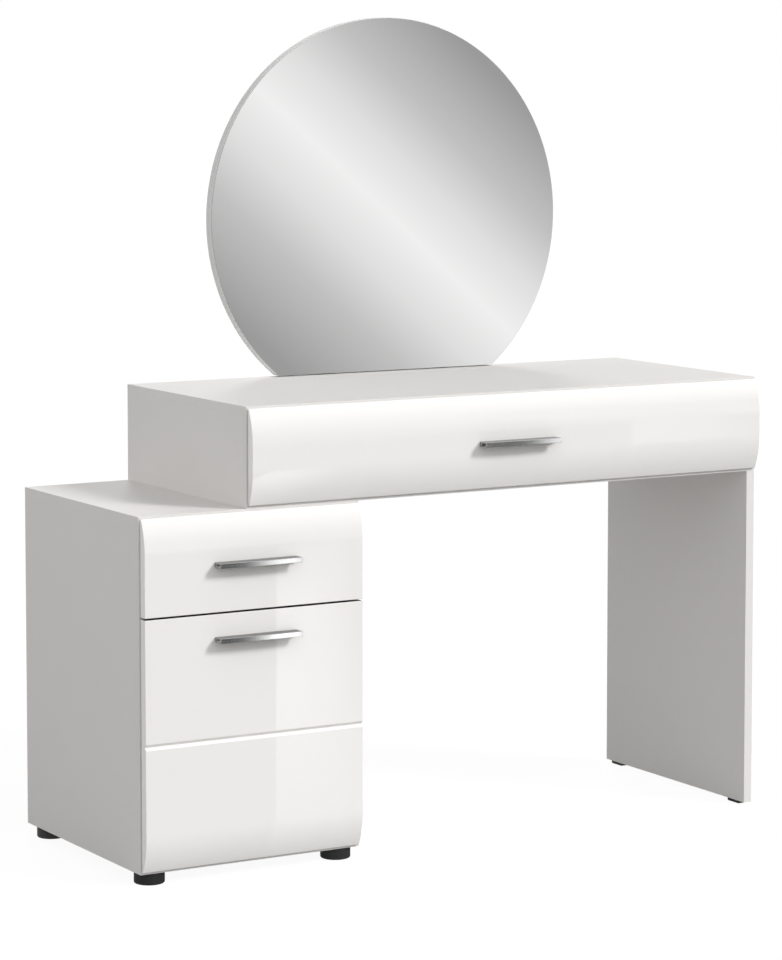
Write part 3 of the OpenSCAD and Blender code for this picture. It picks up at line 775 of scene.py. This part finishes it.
class DRESSINGTABLE_OT_boards(bpy.types.Operator):
    """Dresses the carcass boards"""
    bl_idname = "dressing_table.boards"
    bl_label = "Carcass Boards"

    def execute(self, context):
        for node, banded in BANDED_SIDES.items():
            dress_board(node, banded, shape().board_ease)
        dress_hardboard("pedestal_back", 1)
        return {"FINISHED"}


class DRESSINGTABLE_OT_drawer_boxes(bpy.types.Operator):
    """Dresses the sides, backs and bottoms of the drawers"""
    bl_idname = "dressing_table.drawer_boxes"
    bl_label = "Drawer Boxes"

    def execute(self, context):
        for drawer in DRAWERS:
            for part in ("side_left", "side_right", "back"):
                dress_board(f"{drawer}_drawer_{part}", ("x", "X", "y", "Y", "z", "Z"),
                            shape().wrap_ease)
            dress_hardboard(drawer + "_drawer_bottom", 2)
        return {"FINISHED"}


# Fronts


def front_form(node, curved_below, curved_above, groove_z=None):
    """A front whose face curves back at one or both of its long edges."""
    size = shape()
    low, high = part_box(node)
    back, face = high.y, low.y
    drop = back - face - size.front_edge
    radius = (size.front_curve ** 2 + drop ** 2) / (2 * drop)
    sweep = math.asin(size.front_curve / radius)
    support = 0.002
    outline = Outline((low.x, back, low.z))
    if curved_below:
        tangent = low.z + size.front_curve
        outline.line((low.x, back - size.front_edge, low.z))
        outline.arc((low.x, face + radius, tangent), -sweep, size.arc_steps)
        outline.line((low.x, face, tangent + support))
    else:
        outline.line((low.x, face, low.z))
    if groove_z is not None:
        outline.line((low.x, face, groove_z - size.groove_width / 2))
        outline.line((low.x, face + size.groove_depth, groove_z))
        outline.line((low.x, face, groove_z + size.groove_width / 2))
    if curved_above:
        tangent = high.z - size.front_curve
        outline.line((low.x, face, tangent - support))
        outline.line((low.x, face, tangent))
        outline.arc((low.x, face + radius, tangent), -sweep, size.arc_steps)
    else:
        outline.line((low.x, face, high.z))
    outline.line((low.x, back, high.z))
    form = outline.pushed((high.x - low.x, 0, 0))
    rounded(form, sharp_edges(form, 25), size.front_ease, 3)
    for one in form.faces:
        one.material_index = 1 if one.normal.y > FACING else 0
        # Flat edges that face the gap to the next front get the third finish, a painted shade
        # standing in for the shade in that gap
        flat_below = one.normal.z < -FACING and not curved_below
        flat_above = one.normal.z > FACING and not curved_above
        if flat_below or flat_above:
            one.material_index = 2
    return form


class DRESSINGTABLE_OT_fronts(bpy.types.Operator):
    """Models the three curved gloss fronts"""
    bl_idname = "dressing_table.fronts"
    bl_label = "Drawer Fronts"

    def execute(self, context):
        groove_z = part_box("deep_drawer_front")[0].z + shape().groove_rise
        fronts = {
            "small_drawer_front": front_form("small_drawer_front", False, True),
            "deep_drawer_front": front_form("deep_drawer_front", True, False, groove_z),
            "wide_drawer_front": front_form("wide_drawer_front", True, True),
        }
        for node, form in fronts.items():
            finished(node + "_gloss", form, [node],
                     [gloss_white(), front_back(), dark_edge()])
        return {"FINISHED"}


# Handles


def handle_form(node):
    """A rail, a top plate and a lip in one section, with the plate and the lip bowed out."""
    size = shape()
    low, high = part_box(node)
    wall, edge = high.y, low.y
    rail = wall - size.handle_rail
    under = high.z - size.handle_plate
    lip = edge + size.handle_lip
    outline = Outline((low.x, wall, low.z))
    for y, z in ((rail, low.z), (rail, under), (lip, under), (lip, low.z), (edge, low.z),
                 (edge, high.z), (wall, high.z)):
        outline.line((low.x, y, z))
    length = high.x - low.x
    form = outline.pushed((length, 0, 0))
    rounded(form, sharp_edges(form, 25), size.handle_ease, 3)
    steps = 36
    for step in range(1, steps):
        cut(form, (low.x + length * step / steps, 0, 0), X)
    middle = (low.x + high.x) / 2
    for vert in form.verts:
        if vert.co.y < rail - size.handle_ease:
            share = (vert.co.x - middle) / (length / 2)
            vert.co.y += size.handle_bow * share ** 2
    return form


class DRESSINGTABLE_OT_handles(bpy.types.Operator):
    """Models the three metal handles"""
    bl_idname = "dressing_table.handles"
    bl_label = "Handles"

    def execute(self, context):
        for drawer in DRAWERS:
            node = drawer + "_handle"
            profile = finished(node + "_profile", handle_form(node), [node],
                               [brushed_metal()])
            bpy.data.collections["handles_lit"].objects.link(profile)
            keep_packed(drawer + "_handle_screws", zinc_steel())
        return {"FINISHED"}


# Mirror


def disc_form(node, ease, segments, rim_y):
    """A round board or glass cut flat at its foot, with its round rim eased at one depth."""
    low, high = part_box(node)
    radius = (high.x - low.x) / 2
    centre = Vector(((low.x + high.x) / 2, low.y, high.z - radius))
    form = bmesh.new()
    bmesh.ops.create_circle(
        form, cap_ends=True, radius=radius, segments=shape().round_steps,
        matrix=Matrix.Translation(centre) @ Matrix.Rotation(math.pi / 2, 4, "X"))
    cut(form, (0, 0, low.z), -Z, clear_outer=True)
    push(form, form.faces[:], (0, high.y - low.y, 0))
    rim = [edge for edge in sharp_edges(form, 40)
           if lies_at(edge, 1, rim_y) and any(vert.co.z > low.z + NEAR for vert in edge.verts)]
    rounded(form, rim, ease, segments)
    return form


class DRESSINGTABLE_OT_mirror(bpy.types.Operator):
    """Models the mirror's board, its glass and the plates that hold it"""
    bl_idname = "dressing_table.mirror"
    bl_label = "Mirror"

    def execute(self, context):
        board = disc_form("mirror_board", shape().board_rim_ease, 3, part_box("mirror_board")[1].y)
        for face in board.faces:
            face.material_index = 0 if abs(face.normal.y) > FACING else 1
        finished("mirror_board_round", board, ["mirror_board"],
                 [white_melamine(), edge_band()])
        glass = disc_form("mirror_glass", shape().glass_arris, 1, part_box("mirror_glass")[0].y)
        for face in glass.faces:
            if face.normal.y < -FACING:
                face.material_index = 0
            else:
                face.material_index = 1 if face.normal.y < -0.3 else 2
        finished("mirror_glass_round", glass, ["mirror_glass"],
                 [mirror_silver(), glass_arris(), glass_edge()])
        dress_metal("mirror_plates", zinc_steel())
        keep_packed("mirror_screws", zinc_steel())
        return {"FINISHED"}


# Feet and gliders


def foot_form(centre, top, spigot_top):
    """A turned foot with a rounded rim, a hollow in its sole and a spigot."""
    size = shape()
    radius = size.foot_diameter / 2
    rim = size.foot_rim
    spigot = size.spigot_diameter / 2
    hollow = 0.0012
    chamfer = 0.0006
    rim_steps = 6
    profile = [(0.0, hollow), (radius - 0.0075, hollow), (radius - 0.006, 0.0), (radius - rim, 0.0)]
    for step in range(1, rim_steps + 1):
        turn = math.pi / 2 * step / rim_steps
        profile.append((radius - rim + rim * math.sin(turn), rim - rim * math.cos(turn)))
    profile += [(radius, top - chamfer), (radius - chamfer, top), (spigot, top),
                (spigot, spigot_top), (0.0, spigot_top)]
    form = bmesh.new()
    points = [form.verts.new((centre[0] + out, centre[1], up)) for out, up in profile]
    edges = [form.edges.new(pair) for pair in zip(points, points[1:])]
    bmesh.ops.spin(
        form, geom=points + edges, cent=(centre[0], centre[1], 0), axis=Z, dvec=(0, 0, 0),
        angle=2 * math.pi, steps=72, use_merge=True, use_duplicate=False)
    bmesh.ops.remove_doubles(form, verts=form.verts, dist=NEAR)
    bmesh.ops.recalc_face_normals(form, faces=form.faces)
    return form


class DRESSINGTABLE_OT_feet(bpy.types.Operator):
    """Models the round feet and the gliders"""
    bl_idname = "dressing_table.feet"
    bl_label = "Feet and Gliders"

    def execute(self, context):
        low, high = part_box("pedestal_feet")
        radius = shape().foot_diameter / 2
        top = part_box("pedestal_bottom")[0].z
        joined = bmesh.new()
        for x in (low.x + radius, high.x - radius):
            for y in (low.y + radius, high.y - radius):
                foot = foot_form((x, y), top, high.z)
                mesh = bpy.data.meshes.new("foot")
                foot.to_mesh(mesh)
                foot.free()
                joined.from_mesh(mesh)
                bpy.data.meshes.remove(mesh)
        finished("pedestal_feet_turned", joined, ["pedestal_feet"],
                 [black_plastic()], crease=25.0)
        gliders = packed_form("leg_gliders")
        rounded(gliders, sharp_edges(gliders, 60), GLIDER_EASE)
        finished("leg_gliders_moulded", gliders, ["leg_gliders"],
                 [black_plastic()], crease=25.0)
        return {"FINISHED"}


# Runners and fittings


def dress_metal(node, material):
    """Dresses sheet metal: its packed form with its long edges broken."""
    form = packed_form(node)
    shortest = 0.01
    long_edges = [edge for edge in sharp_edges(form, 60) if edge.calc_length() > shortest]
    rounded(form, long_edges, METAL_EASE, 1)
    finished(node + "_dressed", form, [node], [material], crease=25.0)


def keep_packed(node, material):
    """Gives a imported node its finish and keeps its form."""
    piece = frame["nodes"][node]
    piece.data.materials.clear()
    piece.data.materials.append(material)


class DRESSINGTABLE_OT_runners(bpy.types.Operator):
    """Dresses the roller runners of the drawers"""
    bl_idname = "dressing_table.runners"
    bl_label = "Runners"

    def execute(self, context):
        for drawer in DRAWERS:
            for part in ("fixed_runner_left", "fixed_runner_right",
                         "drawer_runner_left", "drawer_runner_right"):
                dress_metal(f"{drawer}_{part}", powder_coat())
            for part in ("front_rollers", "rear_rollers"):
                node = f"{drawer}_{part}"
                finished(node + "_turned", packed_form(node), [node], [nylon()],
                         crease=35.0)
        return {"FINISHED"}


class DRESSINGTABLE_OT_fittings(bpy.types.Operator):
    """Gives the cam fittings, dowels and screws their finish"""
    bl_idname = "dressing_table.fittings"
    bl_label = "Fittings"

    def execute(self, context):
        for node in ("cam_locks", "cam_bolts", "joining_screws", "runner_screws"):
            keep_packed(node, zinc_steel())
        finished("dowels_turned", packed_form("dowels"), ["dowels"], [beech_wood()],
                 crease=35.0)
        return {"FINISHED"}


# Stage


def stage_sheet(name, left, right, near, far, material):
    """A flat sheet of the stage, from its left to its right. Near and far are its edges' y and z."""
    form = bmesh.new()
    corners = ((left, *near), (right, *near), (right, *far), (left, *far))
    form.faces.new([form.verts.new(corner) for corner in corners])
    mesh = bpy.data.meshes.new(name)
    form.to_mesh(mesh)
    form.free()
    mesh.materials.append(material)
    sheet = bpy.data.objects.new(name, mesh)
    bpy.context.scene.collection.objects.link(sheet)
    return sheet


def shown_rays(nodes):
    """1 for what the camera sees straight on or through shines and glass, 0 for light."""
    shown = nodes.add("ShaderNodeLightPath", output="Is Camera Ray")
    for ray in ("Is Glossy Ray", "Is Transmission Ray"):
        shown = shown.larger(nodes.add("ShaderNodeLightPath", output=ray))
    scattered = nodes.add("ShaderNodeLightPath", output="Diffuse Depth").kept()
    return shown * (1 - scattered)


def floor_material():
    """A pale floor that shows white, with faint shadows, and lights the table as a grey one."""
    nodes = Finish("studio_floor")
    shade = nodes.add("ShaderNodeBsdfDiffuse", {}, {"Color": (0.38, 0.38, 0.38, 1)})
    glow = nodes.add("ShaderNodeEmission", {}, {"Strength": 1.25})
    lit = nodes.add("ShaderNodeMixShader", {}, {0: shown_rays(nodes) * 0.75, 1: shade, 2: glow})
    below = nodes.add("ShaderNodeNewGeometry", output="Backfacing")
    clear = nodes.add("ShaderNodeBsdfTransparent")
    nodes.feed(nodes.surface, nodes.add("ShaderNodeMixShader", {}, {0: below, 1: lit, 2: clear}))
    return nodes.material


def make_world():
    """A white room for the camera and for reflections, and a soft fill for the rest."""
    world = bpy.data.worlds.new("studio")
    world.use_nodes = True
    bpy.context.scene.world = world
    nodes = Nodes(world.node_tree)
    shown = shown_rays(nodes)
    way = nodes.add("ShaderNodeTexCoord", output="Generated")
    height = nodes.part(way, 2).kept()
    fill = height * (studio().fill_high - studio().fill_low) + studio().fill_low
    fill = fill + (0 - nodes.part(way, 1)).kept() * studio().fill_front
    fill = fill + (0 - nodes.part(way, 0)).kept() * studio().fill_left
    background = world.node_tree.nodes["Background"]
    nodes.feed(background.inputs["Strength"], shown + (1 - shown) * fill)
    nodes.feed(background.inputs["Color"], (1, 1, 1, 1))


def make_card(name, left, right, near, far, strength_of, clear=False):
    """A card that shows in reflections only. A clear one adds its glow to what is behind it."""
    nodes = Finish(name)
    glow = nodes.add("ShaderNodeEmission", {}, {"Strength": strength_of(nodes) * shown_rays(nodes)})
    if clear:
        behind = nodes.add("ShaderNodeBsdfTransparent")
        glow = nodes.add("ShaderNodeAddShader", {}, {0: glow, 1: behind})
    nodes.feed(nodes.surface, glow)
    card = stage_sheet(name, left, right, near, far, nodes.material)
    card.visible_camera = False
    card.visible_diffuse = False
    card.visible_transmission = False
    card.visible_volume_scatter = False
    card.visible_shadow = False
    return card


def mirror_card_glow(nodes):
    """Slanting bright bands with dark ones between them, which give the mirror its sheen."""
    across = nodes.part(nodes.place, 0)
    up = nodes.part(nodes.place, 2)
    off = (across * 0.88 + up - 4.095).swung(1.3)
    tone = nodes.part(nodes.add("ShaderNodeValToRGB", {"stops": [
        (0.0, (0.985, 0.985, 0.985, 1)),
        (0.25, (0.83, 0.83, 0.83, 1)),
        (0.5, (0.605, 0.605, 0.605, 1)),
        (0.9, (0.37, 0.37, 0.37, 1))]}, {0: off}), 0)
    return tone + (1 - tone) * (0.6 - up).risen(0.35)


def upper_card_glow(nodes):
    """White like the room low down, and brighter overhead like a large soft lamp."""
    return (nodes.part(nodes.place, 2) - 2.15).risen(1.3) * 1.75 + 1.0


# Bright strips on the front card: where each starts on the plane of the fronts, its turn in
# degrees, its width, its peak, and how far ahead it begins and ends
STRIPS = (
    (-0.3645, 28.40, 0.192, 2.1, -0.2, 4.2),
    (0.3294, 34.37, 0.44, 1.15, 4.0, 9.6),
)


def front_card_glow(nodes):
    """A dark floor before the fronts with two bright strips, which the fronts show as edges."""
    across = nodes.part(nodes.place, 0)
    ahead = nodes.part(nodes.place, 1)
    dark = (1 - (-6.5 - ahead).risen(3.5)) * (1 - (-0.8 - across).risen(1.8))
    glow = 1 - dark * 0.78
    fronts_ahead = 0.215
    for start, turn, width, peak, near, far in STRIPS:
        turn = math.radians(turn)
        aside = (across - start) * math.cos(turn) + (ahead + fronts_ahead) * math.sin(turn)
        along = (across - start) * math.sin(turn) - (ahead + fronts_ahead) * math.cos(turn)
        inside = aside.above(0)
        fade = (1 - (aside / width) ** 2).kept() * peak
        middle = (near + far) / 2
        reach = (1 - ((along - middle) / (far - middle)) ** 2).kept()
        glow = glow + inside * reach * fade
    return glow


def handle_card_glow(nodes):
    """Two soft lights, each bright at its right, that only the handles show."""
    across = nodes.part(nodes.place, 0)
    up = nodes.part(nodes.place, 2)
    left = (across - 0.18).risen(0.38) * (1 - (across - 0.53).risen(0.08))
    left = left * (1 - (up - 0.34).risen(0.08)) * 4.2
    right = (across - 0.94).risen(0.35) * 2.4
    return left + right


def hang_lamp(name, strength, side, height, width):
    """A far lamp that lights the table and doesn't show in reflections. Angles are in degrees."""
    lamp = bpy.data.lights.new(name, "SUN")
    lamp.energy = strength
    lamp.angle = math.radians(width)
    holder = bpy.data.objects.new(name, lamp)
    holder.visible_glossy = False
    bpy.context.scene.collection.objects.link(holder)
    side = math.radians(side)
    height = math.radians(height)
    towards = Vector((math.sin(side) * math.cos(height), -math.cos(side) * math.cos(height),
                      math.sin(height)))
    holder.rotation_euler = (-towards).to_track_quat("-Z", "Y").to_euler()


class DRESSINGTABLE_OT_stage(bpy.types.Operator):
    """Sets up the floor, the light, the reflector cards and the camera"""
    bl_idname = "dressing_table.stage"
    bl_label = "Stage"

    def execute(self, context):
        scene = context.scene
        scene.view_settings.view_transform = "Standard"
        make_world()
        reach = 30.0
        floor_z = -0.0002
        stage_sheet("studio_floor", -reach, reach, (-reach, floor_z), (reach, floor_z),
                    floor_material())
        make_card("mirror_card", -8.0, 9.0, (-4.96, 0.2), (-4.96, 2.12), mirror_card_glow)
        make_card("front_card", -3.0, 9.0, (-10.0, 0.001), (-0.12, 0.001), front_card_glow)
        make_card("upper_card", -4.0, 6.0, (-4.5, 2.15), (0.5, 5.75), upper_card_glow)
        card = make_card("handle_card", -0.2, 1.6, (-1.5, 0.001), (-1.5, 0.8), handle_card_glow,
                         clear=True)
        card.light_linking.receiver_collection = bpy.data.collections.new("handles_lit")
        for name in ("key_lamp", "rear_lamp", "front_lamp"):
            hang_lamp(name, *getattr(studio(), name))
        lens = bpy.data.cameras.new("camera")
        lens.lens = studio().lens
        lens.sensor_width = 36.0
        lens.shift_y = studio().frame_shift
        lens.clip_end = 100.0
        camera = bpy.data.objects.new("camera", lens)
        camera.location = studio().camera_place
        camera.rotation_euler = (math.pi / 2 - studio().camera_pitch, 0, -studio().camera_turn)
        scene.collection.objects.link(camera)
        scene.camera = camera
        return {"FINISHED"}


# Panel and registration


class DRESSINGTABLE_PT_panel(bpy.types.Panel):
    """Lists the steps that dress the table"""
    bl_idname = "DRESSINGTABLE_PT_panel"
    bl_label = "Dressing Table"
    bl_space_type = "VIEW_3D"
    bl_region_type = "UI"
    bl_category = "Dressing Table"

    def draw(self, context):
        for operator in OPERATORS:
            self.layout.operator(operator.bl_idname)
        for group in (context.scene.table_shape, context.scene.table_colours,
                      context.scene.studio_setup):
            for name in group.__annotations__:
                self.layout.prop(group, name)


OPERATORS = (
    DRESSINGTABLE_OT_stage, DRESSINGTABLE_OT_boards, DRESSINGTABLE_OT_drawer_boxes,
    DRESSINGTABLE_OT_fronts, DRESSINGTABLE_OT_handles, DRESSINGTABLE_OT_mirror,
    DRESSINGTABLE_OT_feet, DRESSINGTABLE_OT_runners, DRESSINGTABLE_OT_fittings,
)
CLASSES = (TableShape, TableColours, StudioSetup) + OPERATORS + (DRESSINGTABLE_PT_panel,)


def register():
    for cls in CLASSES:
        bpy.utils.register_class(cls)
    bpy.types.Scene.table_shape = PointerProperty(type=TableShape)
    bpy.types.Scene.table_colours = PointerProperty(type=TableColours)
    bpy.types.Scene.studio_setup = PointerProperty(type=StudioSetup)


def unregister():
    del bpy.types.Scene.studio_setup
    del bpy.types.Scene.table_colours
    del bpy.types.Scene.table_shape
    for cls in reversed(CLASSES):
        bpy.utils.unregister_class(cls)


def main():
    """Registers the classes and makes every piece."""
    register()
    bpy.ops.dressing_table.stage()
    bpy.ops.dressing_table.boards()
    bpy.ops.dressing_table.drawer_boxes()
    bpy.ops.dressing_table.fronts()
    bpy.ops.dressing_table.handles()
    bpy.ops.dressing_table.mirror()
    bpy.ops.dressing_table.feet()
    bpy.ops.dressing_table.runners()
    bpy.ops.dressing_table.fittings()


if __name__ == "__main__":
    main()
